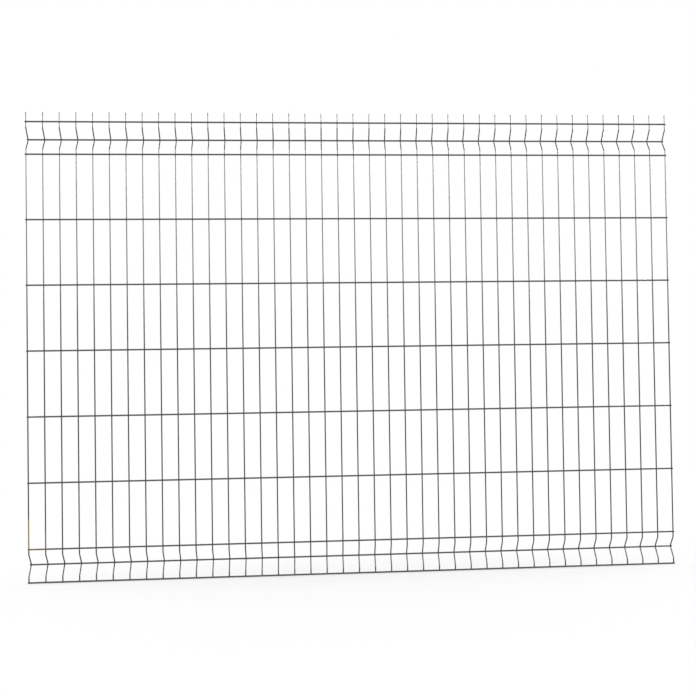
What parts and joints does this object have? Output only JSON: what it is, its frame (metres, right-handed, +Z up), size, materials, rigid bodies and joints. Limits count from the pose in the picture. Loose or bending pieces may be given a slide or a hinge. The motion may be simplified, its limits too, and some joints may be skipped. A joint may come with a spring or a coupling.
{
  "type": "welded mesh fence panel",
  "caption": "Flat fence panel of welded black wires with tall narrow openings, a stiffening V fold near the top and the bottom, and a barbed top edge; it closes a bay between posts.",
  "frame": {"origin": "on the front face of the bottom horizontal wire, level with its axis, in front of the left edge upright, where the post bears", "axes": "+X along the panel from left to right, +Z up, -Y out of the front, towards the post, and +Y the way the folds stand out"},
  "size_m": [2.004, 0.0343, 1.433],
  "materials": {
    "vertical_wire_coat": "satin black powder coat on galvanised steel wire",
    "horizontal_wire_coat": "satin black powder coat on galvanised steel wire"
  },
  "bodies": {
    "root": {"vertical_wire_01": "vertical_wire_coat", "vertical_wire_02": "vertical_wire_coat", "vertical_wire_03": "vertical_wire_coat", "vertical_wire_04": "vertical_wire_coat", "vertical_wire_05": "vertical_wire_coat", "vertical_wire_06": "vertical_wire_coat", "vertical_wire_07": "vertical_wire_coat", "vertical_wire_08": "vertical_wire_coat", "vertical_wire_09": "vertical_wire_coat", "vertical_wire_10": "vertical_wire_coat", "vertical_wire_11": "vertical_wire_coat", "vertical_wire_12": "vertical_wire_coat", "vertical_wire_13": "vertical_wire_coat", "vertical_wire_14": "vertical_wire_coat", "vertical_wire_15": "vertical_wire_coat", "vertical_wire_16": "vertical_wire_coat", "vertical_wire_17": "vertical_wire_coat", "vertical_wire_18": "vertical_wire_coat", "vertical_wire_19": "vertical_wire_coat", "vertical_wire_20": "vertical_wire_coat", "vertical_wire_21": "vertical_wire_coat", "vertical_wire_22": "vertical_wire_coat", "vertical_wire_23": "vertical_wire_coat", "vertical_wire_24": "vertical_wire_coat", "vertical_wire_25": "vertical_wire_coat", "vertical_wire_26": "vertical_wire_coat", "vertical_wire_27": "vertical_wire_coat", "vertical_wire_28": "vertical_wire_coat", "vertical_wire_29": "vertical_wire_coat", "vertical_wire_30": "vertical_wire_coat", "vertical_wire_31": "vertical_wire_coat", "vertical_wire_32": "vertical_wire_coat", "vertical_wire_33": "vertical_wire_coat", "vertical_wire_34": "vertical_wire_coat", "vertical_wire_35": "vertical_wire_coat", "vertical_wire_36": "vertical_wire_coat", "vertical_wire_37": "vertical_wire_coat", "vertical_wire_38": "vertical_wire_coat", "vertical_wire_39": "vertical_wire_coat", "vertical_wire_40": "vertical_wire_coat", "vertical_wire_41": "vertical_wire_coat", "horizontal_wire_01": "horizontal_wire_coat", "horizontal_wire_02": "horizontal_wire_coat", "horizontal_wire_03": "horizontal_wire_coat", "horizontal_wire_04": "horizontal_wire_coat", "horizontal_wire_05": "horizontal_wire_coat", "horizontal_wire_06": "horizontal_wire_coat", "horizontal_wire_07": "horizontal_wire_coat", "horizontal_wire_08": "horizontal_wire_coat", "horizontal_wire_09": "horizontal_wire_coat", "horizontal_wire_10": "horizontal_wire_coat", "horizontal_wire_11": "horizontal_wire_coat"}
  },
  "joints": []
}
